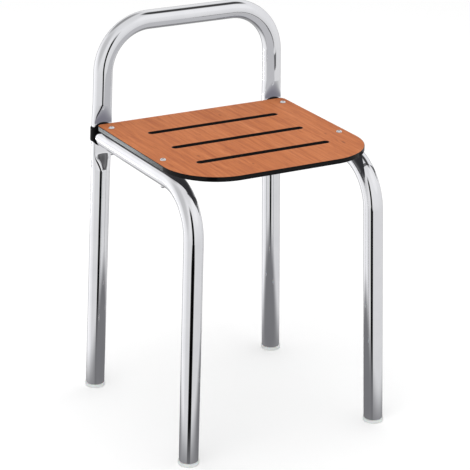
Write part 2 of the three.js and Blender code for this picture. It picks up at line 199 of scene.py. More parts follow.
class Shell:
    """Gathers faces, each corner with its own normal, and welds them into one mesh."""

    def __init__(self):
        self.index = {}
        self.points = []
        self.faces = []
        self.normals = []
        self.slots = []

    def vertex(self, point):
        key = tuple(int(round(c * WELD_CELLS)) for c in point)
        if key not in self.index:
            self.index[key] = len(self.points)
            self.points.append(tuple(float(c) for c in point))
        return self.index[key]

    def face(self, corners, normals=None, slot=0):
        """One face. Without normals it is flat. It is turned to face its normals' side."""
        ids, kept = [], []
        for k, corner in enumerate(corners):
            i = self.vertex(corner)
            if i not in ids:
                ids.append(i)
                kept.append(k)
        if len(ids) < 3:
            return
        place = [np.asarray(corners[k], float) for k in kept]
        across = np.cross(place[1] - place[0], place[2] - place[0])
        if len(place) > 3:
            across = across + np.cross(place[2] - place[0], place[3] - place[0])
        across = across / (np.linalg.norm(across) + 1e-30)
        own = [across] * len(ids) if normals is None else [np.asarray(normals[k], float) for k in kept]
        if normals is not None and float(np.dot(sum(own), across)) < 0:
            ids.reverse()
            own.reverse()
        self.faces.append(ids)
        self.normals.extend(own)
        self.slots.append(slot)

    def grid(self, points, normals=None, slot=0, closed=True):
        """Quads between rows of points. Columns join round when closed."""
        rows, columns = points.shape[:2]
        for i in range(rows - 1):
            for j in range(columns if closed else columns - 1):
                k = (j + 1) % columns
                corners = [points[i, j], points[i, k], points[i + 1, k], points[i + 1, j]]
                own = None
                if normals is not None:
                    own = [normals[i, j], normals[i, k], normals[i + 1, k], normals[i + 1, j]]
                self.face(corners, own, slot)

    def piece(self, name, materials, slot_name, offset=Vector((0, 0, 0))):
        """The finished object, riding on the only body and standing for its CAD node."""
        mesh = bpy.data.meshes.new(name)
        mesh.from_pydata(self.points, [], self.faces)
        mesh.shade_smooth()
        mesh.polygons.foreach_set("material_index", self.slots)
        mesh.normals_split_custom_set([tuple(n) for n in self.normals])
        for material in materials:
            mesh.materials.append(material)
        mesh.update()
        piece = bpy.data.objects.new(name + "_fine", mesh)
        piece.location = offset
        bpy.context.scene.collection.objects.link(piece)
        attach(piece, "root")
        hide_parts(name)
        return piece


def unit(vector):
    vector = np.asarray(vector, float)
    return vector / np.linalg.norm(vector)


def bent_line(corners, radius):
    """Stations (point, tangent) along straight runs whose corners are rounded."""
    corners = [np.asarray(c, float) for c in corners]
    stations = [(corners[0], unit(corners[1] - corners[0]))]
    for i in range(1, len(corners) - 1):
        before = unit(corners[i] - corners[i - 1])
        after = unit(corners[i + 1] - corners[i])
        turn = math.acos(min(1.0, float(np.dot(before, after))))
        if turn < STRAIGHT:
            stations.append((corners[i], before))
            continue
        inward = unit(after - before)
        centre = corners[i] + inward * radius / math.cos(turn / 2)
        start = corners[i] - before * radius * math.tan(turn / 2)
        axis = Vector(unit(np.cross(before, after)))
        spoke = start - centre
        steps = max(2, round(turn / BEND_STEP))
        for k in range(steps + 1):
            rotation = np.array(Matrix.Rotation(turn * k / steps, 3, axis))
            stations.append((centre + rotation @ spoke, rotation @ before))
    stations.append((corners[-1], unit(corners[-1] - corners[-2])))
    return stations


def tube_rows(stations, radius, binormal, ends):
    """Rings round a flat centre line. Each end's ring is slid along the tube by its function."""
    turns = np.arange(TUBE_SIDES) * 2 * math.pi / TUBE_SIDES
    points, normals = [], []
    for i, (place, tangent) in enumerate(stations):
        side = np.cross(binormal, tangent)
        ring_normals = np.outer(np.cos(turns), side) + np.outer(np.sin(turns), binormal)
        ring = place + radius * ring_normals
        end = ends[0] if i == 0 else ends[1] if i == len(stations) - 1 else None
        if end is not None:
            ring = ring + np.outer(end(ring, tangent), tangent)
        points.append(ring)
        normals.append(ring_normals)
    return np.array(points), np.array(normals)


def level_end(ring, tangent):
    """How far each point slides along the tube to lie at the height where tubes end."""
    return (TUBE_END_Z - ring[:, 2]) / tangent[2]


def saddle_end(sign):
    """The same for a rail's end, which is cut to the pressed front of the rear leg."""

    def slide(ring, tangent):
        out = []
        for x, y, z in ring:
            side = abs(abs(x) - leg_x(z)) / (1 + PRESS_WIDEN)
            ahead = math.sqrt(SADDLE_RADIUS**2 - side * side)
            round_point = (sign * leg_x(z) + side, REAR_LEG_Y - ahead, z)
            out.append((pressed_point(round_point, 1)[1] - y) / tangent[1])
        return np.array(out)

    return slide


def hollow_tube(name, corners, bend_radius, ends, is_pressed=False):
    """A round tube with its wall, open at both ends, and pressed where the rear legs are."""
    stations = bent_line(corners, bend_radius)
    binormal = unit(np.cross(stations[0][1], stations[len(stations) // 2][1]))
    outer, outward = tube_rows(stations, TUBE_RADIUS, binormal, ends)
    bore, bore_out = tube_rows(stations, TUBE_RADIUS - TUBE_WALL, binormal, ends)
    if is_pressed:
        reached = np.abs(outer[:, :, 2].mean(axis=1) - RAIL_Z) < PRESS_REACH
        outer, bore = pressed_rows(outer), pressed_rows(bore)
        outward[reached] = surface_normals(outer, outward)[reached]
        bore_out[reached] = surface_normals(bore, bore_out)[reached]
    shell = Shell()
    shell.grid(outer, outward)
    shell.grid(bore, -bore_out)
    for row, facing in ((0, -stations[0][1]), (-1, stations[-1][1])):
        rim = np.array([outer[row], bore[row]])
        shell.grid(rim, np.broadcast_to(facing, rim.shape))
    return shell.piece(name, [CHROME], "chrome_tube")


# ---- Turned pieces ------------------------------------------------------------------


def profile_normals(points):
    """Normals of a profile's points [radius, height], on its left side going along it."""
    points = np.asarray(points, float)
    ahead = np.gradient(points, axis=0)
    out = np.stack([ahead[:, 1], -ahead[:, 0]], axis=1)
    return out / np.linalg.norm(out, axis=1)[:, None]


def turned(shell, runs, sides=TURNED_SIDES):
    """Rows turned about Z. Each run is a smooth profile and runs meet at hard edges."""
    turns = np.arange(sides) * 2 * math.pi / sides
    around = np.stack([np.cos(turns), np.sin(turns), np.zeros(sides)], axis=1)
    up = np.array(UP)
    for run in runs:
        normals = profile_normals(run)
        points = np.array([r * around + z * up for r, z in run])
        facing = np.array([nr * around + nz * up for nr, nz in normals])
        shell.grid(points, facing)


def level_ring(radii, turns, z):
    return np.stack([radii * np.cos(turns), radii * np.sin(turns), np.full(len(turns), z)], axis=1)


def hexagon(corner, z):
    """A ring of points spaced in angle round a hexagon of the given corner radius."""
    turns = np.arange(TURNED_SIDES) * 2 * math.pi / TURNED_SIDES
    flat = corner * math.cos(HALF_SIDE)
    return level_ring(flat / np.cos((turns % (2 * HALF_SIDE)) - HALF_SIDE), turns, z)


def circle(radius, z):
    turns = np.arange(TURNED_SIDES) * 2 * math.pi / TURNED_SIDES
    return level_ring(radius, turns, z)


def dome_run(radius, foot, height, inner, steps=10):
    """A quarter-ellipse shoulder from the rim in to a radius."""
    last = math.acos(inner / radius)
    angles = [last * i / steps for i in range(steps + 1)]
    return [(radius * math.cos(a), foot + height * math.sin(a)) for a in angles]


def flat_ring(shell, inner, outer):
    """A level ring between two rings of points, facing up."""
    shell.grid(np.array([inner, outer]), np.broadcast_to(UP, (2, TURNED_SIDES, 3)))


def socket_head(shell, head_radius, head_height, rim, socket_corner, socket_depth):
    """A button head that stands on z = 0, with a hexagon socket in its crown in slot 1."""
    mouth = socket_corner * SOCKET_MOUTH
    dome = dome_run(head_radius, rim, head_height - rim, mouth)
    turned(shell, [[(head_radius, 0), (head_radius, rim)], dome])
    turned(shell, [[(head_radius * HEAD_UNDERSIDE, 0), (head_radius, 0)]])
    lip = dome[-1][1]
    floor_z = head_height - socket_depth
    lip_ring = hexagon(socket_corner * SOCKET_BEVEL, lip)
    edge_ring = hexagon(socket_corner, lip - SOCKET_BEVEL_DEPTH)
    floor_ring = hexagon(socket_corner, floor_z)
    flat_ring(shell, circle(mouth, lip), lip_ring)
    shell.grid(np.array([lip_ring, edge_ring]))
    # The socket's walls and floor take the second material, painted dark as painted shade in the recess.
    shell.grid(np.array([edge_ring, floor_ring]), None, 1)
    shell.grid(np.array([floor_ring, circle(0, floor_z - SOCKET_DRILL)]), None, 1)


def seat_screw(end, side):
    node = f"seat_screw_{end}_{side}"
    low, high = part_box(node)
    place = middle(node)
    base = SEAT_HIGH.z + FIT_GAP
    shell = Shell()
    socket_head(shell, (high.x - low.x) / 2, high.z - base, *SEAT_SCREW_HEAD)
    shank = SEAT_SCREW_SHANK
    tip = low.z - base
    bevel = SEAT_SCREW_BEVEL
    turned(shell, [
        [(shank, 0), (shank, tip + bevel)],
        [(shank, tip + bevel), (shank - bevel, tip)],
        [(shank - bevel, tip), (0, tip)],
    ], SHANK_SIDES)
    return shell.piece(node, [STAINLESS, SOCKET_PAINTED_SHADE], "stainless_fastener",
                       Vector((place.x, place.y, base)))


def dome_nut(end, side):
    """A closed nut that hangs from z = 0: a bevelled hexagon that ends in a dome."""
    node = f"dome_nut_{end}_{side}"
    low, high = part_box(node)
    place = middle(node)
    corner = (high.x - low.x) / 2
    foot = -NUT_HEX_HEIGHT
    shell = Shell()
    top_ring = circle(corner * math.cos(HALF_SIDE) * NUT_FACE, 0)
    high_ring = hexagon(corner, -NUT_TOP_BEVEL)
    low_ring = hexagon(corner, foot + NUT_FOOT_BEVEL)
    flat_ring(shell, circle(NUT_BORE, 0), top_ring)
    for rings in ((top_ring, high_ring), (high_ring, low_ring), (low_ring, circle(NUT_DOME, foot))):
        shell.grid(np.array(rings))
    depth = low.z - high.z - foot
    turned(shell, [dome_run(NUT_DOME, foot, depth, POINT)])
    return shell.piece(node, [CHROME], "chrome_tube", Vector((place.x, place.y, high.z)))


def joint_bolt(side, sign):
    node = f"joint_bolt_{side}"
    low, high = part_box(node)
    base = REAR_LEG_Y + TUBE_RADIUS + FIT_GAP
    shell = Shell()
    socket_head(shell, (high.x - low.x) / 2, high.y - base, *JOINT_BOLT_HEAD)
    shank = JOINT_BOLT_SHANK
    tip = low.y - base
    turned(shell, [[(shank, 0), (shank, tip)], [(shank, tip), (0, tip)]], SHANK_SIDES)
    piece = shell.piece(node, [STAINLESS, SOCKET_PAINTED_SHADE], "stainless_fastener")
    piece.matrix_world = Matrix.Translation((sign * RAIL_X, base, RAIL_Z)) @ Matrix.Rotation(
        -math.pi / 2, 4, "X")
    return piece


def rail_insert(side, sign):
    """The plug in the rail's end, cut to the pressed leg as the rail is, with the bolt's bore."""
    node = f"rail_insert_{side}"
    low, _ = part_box(node)
    back, across = np.array([0.0, 1.0, 0.0]), np.array([1.0, 0.0, 0.0])
    stations = [(np.array([sign * RAIL_X, y, RAIL_Z]), back) for y in (low.y, REAR_LEG_Y)]
    ends = (None, saddle_end(sign))
    outer, outward = tube_rows(stations, PLUG_RADIUS, across, ends)
    bore, bore_out = tube_rows(stations, JOINT_BOLT_SHANK + FIT_GAP, across, ends)
    shell = Shell()
    shell.grid(outer, outward)
    shell.grid(bore, -bore_out)
    for row, facing in ((0, (0, -1, 0)), (-1, (0, 1, 0))):
        rim = np.array([outer[row], bore[row]])
        shell.grid(rim, np.broadcast_to(np.array(facing, float), rim.shape))
    return shell.piece(node, [STAINLESS], "stainless_fastener")


def foot_glide(end, side, sign):
    """A round pad with softened edges and the plug that goes up inside its leg."""
    node = f"foot_glide_{end}_{side}"
    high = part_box(node)[1]
    y = MOUNTS[f"foot_{end}_{side}"][1]
    pad, soft, lip, dish = GLIDE_RADIUS, GLIDE_SOFT, GLIDE_LIP, GLIDE_DISH
    dish_end, ring_start = pad * GLIDE_DISH_END, pad * GLIDE_RING_START
    plug = PLUG_RADIUS
    shell = Shell()
    angles = [math.pi / 2 * i / GLIDE_STEPS for i in range(GLIDE_STEPS + 1)]
    lower = [(pad - soft + soft * math.sin(a), soft - soft * math.cos(a)) for a in angles]
    upper = [(pad - lip + lip * math.cos(a), GLIDE_TOP - lip + lip * math.sin(a)) for a in angles]
    turned(shell, [
        [(0, dish), (dish_end, dish)],
        [(dish_end, dish), (ring_start, 0)],
        [(ring_start, 0), (pad - soft, 0)],
        lower,
        [(pad, soft), (pad, GLIDE_TOP - lip)],
        upper,
        [(pad - lip, GLIDE_TOP), (plug, GLIDE_TOP)],
    ])
    lean = FRONT_LEG_LEAN if end == "front" else 0.0
    up = unit([-sign * LEG_SPLAY, lean, 1.0])
    top = high.z - plug * math.hypot(LEG_SPLAY, lean)
    heights = (GLIDE_TOP, top - PLUG_TAPER_HEIGHT, top)
    stations = [(np.array([-sign * LEG_SPLAY * z, lean * z, z]), up) for z in heights]
    outer, outward = tube_rows(stations, plug, unit(np.cross(up, [0.0, 1.0, 0.0])), (None, None))
    tip = stations[2][0]
    outer[2] = tip + (outer[2] - tip) * PLUG_TAPER
    shell.grid(outer[:2], outward[:2])
    shell.grid(outer[1:])
    cap = np.array([outer[2], np.broadcast_to(tip, outer[2].shape)])
    shell.grid(cap, np.broadcast_to(up, cap.shape))
    return shell.piece(node, [GLIDE_PLASTIC], "white_glide", Vector((sign * FOOT_X, y, 0)))


def rail_spacer(side, sign):
    """A disc of hard rubber bent round the pressed front of the rear leg."""
    node = f"rail_spacer_{side}"
    low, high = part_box(node)
    centre_z = (low.z + high.z) / 2
    inner = TUBE_RADIUS + FIT_GAP
    wrap = math.acos(-SPACER_WRAP / inner)
    axis = unit([-sign * LEG_SPLAY, 0.0, 1.0])
    across = unit(np.cross([0.0, 1.0, 0.0], axis))
    layers = []
    for radius in (inner, inner + SPACER_THICKNESS):
        layer, facing = [], []
        for v in np.linspace(-1, 1, SPACER_ROWS):
            line, out = [], []
            for turn in np.linspace(-wrap, wrap, SPACER_COLUMNS):
                x, y = radius * math.sin(turn), -radius * math.cos(turn)
                reach = math.sqrt(SPACER_RADIUS**2 - x * x)
                z = centre_z + v * reach
                foot = np.array([sign * leg_x(z), REAR_LEG_Y, z])
                line.append(pressed_point(foot + x * across + np.array([0.0, y, 0.0]), 1))
                out.append(math.sin(turn) * across + np.array([0.0, -math.cos(turn), 0.0]))
            layer.append(line)
            facing.append(out)
        layer = np.array(layer)
        layers.append((layer, surface_normals(layer, np.array(facing), closed=False)))
    (inside, inward), (outside, outward) = layers
    shell = Shell()
    shell.grid(inside, -inward, closed=False)
    shell.grid(outside, outward, closed=False)
    for cut in (np.s_[0, :], np.s_[-1, :], np.s_[:, 0], np.s_[:, -1]):
        edge = np.array([inside[cut], outside[cut]])
        away = edge.mean(axis=(0, 1)) - outside.mean(axis=(0, 1))
        strip_normal = np.cross(edge[0, 1:] - edge[0, :-1], edge[1, :-1] - edge[0, :-1])
        strip_normal = strip_normal / np.linalg.norm(strip_normal, axis=1)[:, None]
        strip_normal = np.vstack([strip_normal, strip_normal[-1:]])
        if float(np.dot(strip_normal.mean(axis=0), away)) < 0:
            strip_normal = -strip_normal
        shell.grid(edge, np.array([strip_normal, strip_normal]), closed=False)
    return shell.piece(node, [BLACK_PLASTIC], "black_spacer")


# ---- Seat ---------------------------------------------------------------------------


def arc(centre, radius, start, end):
    """Points and outward directions along an arc, ends included."""
    steps = max(2, round(abs(end - start) / ARC_STEP))
    out = []
    for i in range(steps + 1):
        a = start + (end - start) * i / steps
        way = (math.cos(a), math.sin(a))
        out.append(((centre[0] + radius * way[0], centre[1] + radius * way[1]), way))
    return out


def outline_loop():
    """The panel's plan as (point, outward direction) pairs, anticlockwise."""
    w, f, r = SEAT_HIGH.x, SEAT_FRONT_CORNER, SEAT_REAR_CORNER
    front, rear = SEAT_LOW.y, SEAT_HIGH.y
    quarter = QUARTER
    loop = arc((w - f, front + f), f, -quarter, 0)
    loop += arc((w - r, rear - r), r, 0, quarter)
    loop += arc((-w + r, rear - r), r, quarter, 2 * quarter)
    loop += arc((-w + f, front + f), f, 2 * quarter, 3 * quarter)
    return loop


def slot_loop(y):
    """A slot's outline. Its directions point out of the panel, towards the slot's middle."""
    radius = SLOT_WIDTH / 2
    reach = SLOT_LENGTH / 2 - radius
    quarter = QUARTER
    loop = arc((reach, y), radius, -quarter, quarter)
    loop += arc((-reach, y), radius, quarter, 3 * quarter)
    return [(point, (-way[0], -way[1])) for point, way in loop]


def hole_loop(x, y, radius):
    loop = arc((x, y), radius, 0, 2 * math.pi)[:-1]
    return [(point, (-way[0], -way[1])) for point, way in loop]


def edge_profile():
    """The seat's edge, from its top face to its underside, as inset, height and tilt."""
    profile = []
    angles = [QUARTER * i / SEAT_EDGE_STEPS for i in range(SEAT_EDGE_STEPS + 1)]
    for a in angles:
        inset, drop = SEAT_EDGE * (1 - math.sin(a)), SEAT_EDGE * (1 - math.cos(a))
        profile.append((inset, SEAT_HIGH.z - drop, a))
    for a in angles:
        inset, rise = SEAT_EDGE * (1 - math.cos(a)), SEAT_EDGE * (1 - math.sin(a))
        profile.append((inset, SEAT_LOW.z + rise, QUARTER + a))
    return profile


def seat_panel():
    """The panel: laminate above in slot 0, its core round every edge in 1, the underside in 2."""
    loops = [outline_loop()]
    for name in ("front_slot", "middle_slot", "rear_slot"):
        box = OPENINGS[name]
        loops.append(slot_loop((box[0][1] + box[1][1]) / 2))
    for side, _ in SIDES:
        for end in ENDS:
            place = middle(f"seat_screw_{end}_{side}")
            loops.append(hole_loop(place.x, place.y, SCREW_HOLE_RADIUS))
    shell = Shell()
    for loop in loops:
        points = np.array([p for p, _ in loop])
        ways = np.array([w for _, w in loop])
        rows, facing = [], []
        for inset, z, tilt in edge_profile():
            flat = points - ways * inset
            rows.append(np.column_stack([flat, np.full(len(flat), z)]))
            facing.append(np.column_stack([ways * math.sin(tilt), np.full(len(flat), math.cos(tilt))]))
        rows, facing = np.array(rows), np.array(facing)
        shell.grid(rows, facing, slot=1)
    for z, up, slot in ((SEAT_HIGH.z, 1.0, 0), (SEAT_LOW.z, -1.0, 2)):
        rings = []
        for loop in loops:
            inset = [(p[0] - w[0] * SEAT_EDGE, p[1] - w[1] * SEAT_EDGE) for p, w in loop]
            rings.append([Vector((x, y, z)) for x, y in inset])
        flat = [p for ring in rings for p in ring]
        for triangle in tessellate_polygon(rings):
            corners = [flat[i] for i in triangle]
            shell.face(corners, [(0.0, 0.0, up)] * 3, slot)
    panel = shell.piece("seat_panel", [LAMINATE, CORE, UNDERSIDE], "seat_laminate")
    panel.visible_glossy = False
    return panel


# ---- Materials ----------------------------------------------------------------------

# Small knots in the seat's decor: x, y and half-width.
KNOTS = ((0.1435, -0.098, 0.0022), (0.140, -0.048, 0.0016), (-0.1045, -0.056, 0.0020),
         (0.032, 0.118, 0.0018), (-0.045, -0.128, 0.0015))
KNOT_SQUASH = (1.0, 0.45, 0.0)  # a knot is longer along the grain
KNOT_REACH = 6  # how far the grain bends, in half-widths
KNOT_PUSH = -0.75
KNOT_SPOT = (1.5, 0.4)  # where its dark middle starts and is darkest, in half-widths


def math_node(tree, operation, a, b=None):
    node = tree.nodes.new("ShaderNodeMath")
    node.operation = operation
    for socket, value in zip(node.inputs, (a, b)):
        if isinstance(value, (int, float)):
            socket.default_value = value
        elif value is not None:
            tree.links.new(value, socket)
    return node.outputs[0]


def smooth_step(tree, value, start, end, low=0.0, high=1.0):
    """A value that goes smoothly from low to high as its source goes from start to end."""
    node = tree.nodes.new("ShaderNodeMapRange")
    node.interpolation_type = "SMOOTHSTEP"
    tree.links.new(value, node.inputs["Value"])
    for name, number in (("From Min", start), ("From Max", end), ("To Min", low), ("To Max", high)):
        node.inputs[name].default_value = number
    return node.outputs["Result"]


def split_axes(tree, place):
    split = tree.nodes.new("ShaderNodeSeparateXYZ")
    tree.links.new(place, split.inputs[0])
    return split.outputs


def vector_node(tree, operation, source, other=None):
    """A vector node on a source, with a fixed second vector if the operation takes one."""
    node = tree.nodes.new("ShaderNodeVectorMath")
    node.operation = operation
    tree.links.new(source, node.inputs[0])
    if other is not None:
        node.inputs[1].default_value = other
    return node.outputs


class Graph:
    """Short calls for building a material's nodes round one Principled shader."""

    def __init__(self, name):
        self.material = bpy.data.materials.new(name)
        self.material.use_nodes = True
        self.tree = self.material.node_tree
        self.tree.nodes.clear()
        self.shader = self.node("ShaderNodeBsdfPrincipled")
        output = self.node("ShaderNodeOutputMaterial")
        self.link(self.shader.outputs[0], output.inputs["Surface"])
        self.coordinates = self.node("ShaderNodeTexCoord").outputs["Object"]

    def node(self, kind, **values):
        made = self.tree.nodes.new(kind)
        for key, value in values.items():
            setattr(made, key, value)
        return made

    def link(self, output, socket):
        self.tree.links.new(output, socket)

    def scaled(self, scale):
        """Object coordinates with another scale along each axis."""
        mapping = self.node("ShaderNodeMapping")
        mapping.inputs["Scale"].default_value = scale
        self.link(self.coordinates, mapping.inputs["Vector"])
        return mapping.outputs[0]

    def noise(self, scale, detail=2.0, roughness=0.5, stretch=(1, 1, 1), distortion=0.0):
        noise = self.node("ShaderNodeTexNoise")
        self.link(self.scaled(stretch), noise.inputs["Vector"])
        noise.inputs["Scale"].default_value = scale
        noise.inputs["Detail"].default_value = detail
        noise.inputs["Roughness"].default_value = roughness
        noise.inputs["Distortion"].default_value = distortion
        return noise.outputs["Fac"]

    def ramp(self, value, stops):
        ramp = self.node("ShaderNodeValToRGB")
        self.link(value, ramp.inputs[0])
        marks = ramp.color_ramp.elements
        while len(marks) < len(stops):
            marks.new(0.5)
        for mark, (place, colour) in zip(marks, stops):
            mark.position = place
            mark.color = (*colour, 1.0)
        return ramp.outputs["Color"]

    def spread(self, value, low, high, source=(0.3, 0.7)):
        """A value mapped from its source range to another."""
        node = self.node("ShaderNodeMapRange")
        self.link(value, node.inputs["Value"])
        node.inputs["From Min"].default_value = source[0]
        node.inputs["From Max"].default_value = source[1]
        node.inputs["To Min"].default_value = low
        node.inputs["To Max"].default_value = high
        return node.outputs["Result"]

    def mix(self, factor, a, b):
        node = self.node("ShaderNodeMix", data_type="RGBA")
        for socket, value in ((node.inputs[0], factor), (node.inputs[6], a), (node.inputs[7], b)):
            if isinstance(value, (int, float)):
                socket.default_value = value
            elif isinstance(value, tuple):
                socket.default_value = (*value, 1.0)
            else:
                self.link(value, socket)
        return node.outputs[2]

    def bump(self, height, strength, distance):
        node = self.node("ShaderNodeBump")
        self.link(height, node.inputs["Height"])
        node.inputs["Strength"].default_value = strength
        node.inputs["Distance"].default_value = distance
        return node.outputs[0]

    def set(self, **values):
        """Shader sockets by name, with _ for a space. A value is set and an output is linked."""
        for key, value in values.items():
            socket = self.shader.inputs[key.replace("_", " ")]
            if isinstance(value, bpy.types.NodeSocket):
                self.link(value, socket)
            elif isinstance(value, tuple):
                socket.default_value = (*value, 1.0)
            else:
                socket.default_value = value


def chrome():
    g = Graph("chrome_plate")
    haze = g.noise(22, 3, 0.55)
    grain = g.noise(900, 2, 0.5)
    g.set(Base_Color=g.mix(g.spread(haze, 0, 1), (0.90, 0.905, 0.92), (0.95, 0.952, 0.96)),
          Metallic=1.0, Roughness=g.spread(haze, 0.03, 0.06),
          Normal=g.bump(grain, 0.02, 0.00002))
    return g.material


def knots(g, across):
    """The grain's sideways coordinate, bent round each knot, and the knots' dark middles."""
    dark = None
    for x, y, size in KNOTS:
        off = vector_node(g.tree, "SUBTRACT", g.coordinates, (x, y, SEAT_HIGH.z))[0]
        squashed = vector_node(g.tree, "MULTIPLY", off, KNOT_SQUASH)[0]
        distance = vector_node(g.tree, "LENGTH", squashed)["Value"]
        near = smooth_step(g.tree, distance, size * KNOT_REACH, size)
        push = math_node(g.tree, "MULTIPLY", near, split_axes(g.tree, off)["X"])
        across = math_node(g.tree, "ADD", across, math_node(g.tree, "MULTIPLY", push, KNOT_PUSH))
        spot = smooth_step(g.tree, distance, size * KNOT_SPOT[0], size * KNOT_SPOT[1])
        dark = spot if dark is None else math_node(g.tree, "MAXIMUM", dark, spot)
    return across, dark


def laminate():
    """Printed wood decor: streaks along the seat's depth that bend round a few small knots."""
    g = Graph("wood_decor_laminate")
    axes = split_axes(g.tree, g.coordinates)
    across, dark = knots(g, axes["X"])
    bent = g.node("ShaderNodeCombineXYZ")
    g.link(across, bent.inputs[0])
    g.link(axes["Y"], bent.inputs[1])
    g.coordinates = bent.outputs[0]
    tone = g.noise(9, 2, 0.5, (1, 0.3, 1))
    bands = g.noise(38, 3, 0.55, (1, 0.05, 1), 0.6)
    grain = g.noise(190, 4, 0.65, (1, 0.05, 1), 0.3)
    fine = g.noise(700, 2, 0.6, (1, 0.045, 1))
    both = math_node(g.tree, "ADD", math_node(g.tree, "MULTIPLY", bands, 0.3),
                     math_node(g.tree, "MULTIPLY", grain, 0.7))
    base = g.ramp(both, [(0.36, (0.38, 0.098, 0.030)), (0.46, (0.47, 0.142, 0.046)),
                         (0.54, (0.54, 0.175, 0.060)), (0.66, (0.62, 0.222, 0.088))])
    toned = g.mix(g.spread(tone, 0.0, 0.2), base, (0.50, 0.150, 0.050))
    pores = g.ramp(fine, [(0.33, (1, 1, 1)), (0.42, (0, 0, 0))])
    lined = g.mix(g.spread(pores, 0.0, 0.45, (0, 1)), toned, (0.24, 0.06, 0.02))
    marked = g.mix(math_node(g.tree, "MULTIPLY", dark, 0.55), lined, (0.16, 0.045, 0.02))
    g.set(Base_Color=marked, Roughness=g.spread(grain, 0.42, 0.54), Specular_IOR_Level=0.08,
          Normal=g.bump(fine, 0.10, 0.00008))
    return g.material


def core():
    g = Graph("laminate_core")
    layers = g.noise(900, 3, 0.6, (0.02, 0.02, 1))
    g.set(Base_Color=g.ramp(layers, [(0.3, (0.002, 0.002, 0.002)), (0.7, (0.005, 0.005, 0.005))]),
          Specular_IOR_Level=0.13, Roughness=g.spread(layers, 0.09, 0.15),
          Normal=g.bump(layers, 0.08, 0.00003))
    return g.material


def underside():
    g = Graph("laminate_underside")
    speckle = g.noise(700, 3, 0.6)
    g.set(Base_Color=g.ramp(speckle, [(0.3, (0.010, 0.009, 0.009)), (0.7, (0.022, 0.020, 0.019))]),
          Specular_IOR_Level=0.3, Roughness=g.spread(speckle, 0.38, 0.5),
          Normal=g.bump(speckle, 0.15, 0.00006))
    return g.material


def black_plastic():
    g = Graph("black_rubber")
    grain = g.noise(1400, 3, 0.6)
    g.set(Base_Color=g.ramp(grain, [(0.3, (0.002, 0.002, 0.002)), (0.7, (0.005, 0.005, 0.006))]),
          Specular_IOR_Level=0.06, Roughness=g.spread(grain, 0.36, 0.52),
          Normal=g.bump(grain, 0.2, 0.00006))
    return g.material


def glide_plastic():
    g = Graph("white_glide_plastic")
    grain = g.noise(900, 3, 0.6)
    scuff = g.noise(60, 3, 0.6)
    g.set(Base_Color=g.mix(g.spread(scuff, 0.0, 1.0), (0.74, 0.74, 0.72), (0.82, 0.82, 0.81)),
          Roughness=g.spread(grain, 0.36, 0.5), Subsurface_Weight=0.15,
          Normal=g.bump(grain, 0.15, 0.00005))
    return g.material


def stainless():
    g = Graph("stainless_fastener")
    rings = g.node("ShaderNodeTexWave", wave_type="RINGS", rings_direction="Z")
    g.link(g.coordinates, rings.inputs["Vector"])
    rings.inputs["Scale"].default_value = 1400
    rings.inputs["Distortion"].default_value = 1.5
    worn = g.noise(400, 3, 0.6)
    g.set(Base_Color=g.mix(g.spread(worn, 0, 1), (0.90, 0.905, 0.915), (0.96, 0.962, 0.965)),
          Metallic=1.0, Roughness=g.spread(worn, 0.06, 0.16),
          Normal=g.bump(rings.outputs["Fac"], 0.06, 0.00003))
    return g.material


def socket_grime():
    """The dull inside of a socket, painted dark as painted shade in its recess."""
    g = Graph("socket_grime")
    spots = g.noise(1800, 3, 0.6)
    g.set(Base_Color=g.ramp(spots, [(0.35, (0.012, 0.011, 0.010)), (0.65, (0.05, 0.047, 0.043))]),
          Roughness=g.spread(spots, 0.55, 0.8), Specular_IOR_Level=0.2,
          Normal=g.bump(spots, 0.3, 0.00005))
    return g.material


CHROME = chrome()
LAMINATE = laminate()
CORE = core()
UNDERSIDE = underside()
BLACK_PLASTIC = black_plastic()
GLIDE_PLASTIC = glide_plastic()
STAINLESS = stainless()
# The socket material is painted shade: it darkens the recesses of the screws and bolts.
SOCKET_PAINTED_SHADE = socket_grime()


# ---- The stool ----------------------------------------------------------------------


def rear_frame():
    steps = round(PRESS_REACH / PRESS_STEP)
    heights = [0, *(RAIL_Z + PRESS_REACH * k / steps for k in range(-steps, steps + 1)), BACK_TOP_Z]
    up = [(-leg_x(z), REAR_LEG_Y, z) for z in heights]
    down = [(leg_x(z), REAR_LEG_Y, z) for z in reversed(heights)]
    return hollow_tube("rear_frame", up + down, BACK_BEND_RADIUS, (level_end, level_end), True)


def front_leg(side, sign):
    top_y = FRONT_FOOT_Y + FRONT_LEG_LEAN * RAIL_Z
    corners = [(sign * leg_x(0), FRONT_FOOT_Y, 0), (sign * RAIL_X, top_y, RAIL_Z),
               (sign * RAIL_X, REAR_LEG_Y, RAIL_Z)]
    return hollow_tube(f"front_leg_{side}", corners, RAIL_BEND_RADIUS, (level_end, saddle_end(sign)))


rear_frame()
seat_panel()
for side, sign in SIDES:
    front_leg(side, sign)
    rail_spacer(side, sign)
    rail_insert(side, sign)
    joint_bolt(side, sign)
    for end in ENDS:
        foot_glide(end, side, sign)
        seat_screw(end, side)
        dome_nut(end, side)

# ---- Floor and the cards that only reflections see ----------------------------------

CAMERA_AZIMUTH = math.radians(-30.118)
CAMERA_ELEVATION = math.radians(20.782)
CAMERA_ROLL = math.radians(1.3116)
CAMERA_DISTANCE = 3.5973
CAMERA_TARGET = Vector((0.00033, 0.00305, 0.30653))
SENSOR = 36.0
FOCAL_PIXELS = 2145.6
IMAGE_PIXELS = 470

FLOOR_REACH = 30.0
FLOOR_GLOW = 0.12  # lifts the paper floor to white, with the soft shadows still on it

# The dark flag in front of the stool that draws the thin black line down the tubes. Its
# half width goes from foot to body over the waist's heights, and it fades out at its top.
FLAG_DISTANCE = 0.97
FLAG_SIDESTEP = -0.06
FLAG_HALF_WIDTH = 0.30
FLAG_FOOT, FLAG_BODY = 0.25, 0.15
FLAG_WAIST = (0.10, 0.20)
FLAG_EDGE = (0.8, 1.2)  # where its sides fade, as parts of the half width
FLAG_BOTTOM, FLAG_FADE, FLAG_TOP = -0.8, 0.9, 1.5
FLAG_COLOUR = (0.002, 0.002, 0.002)

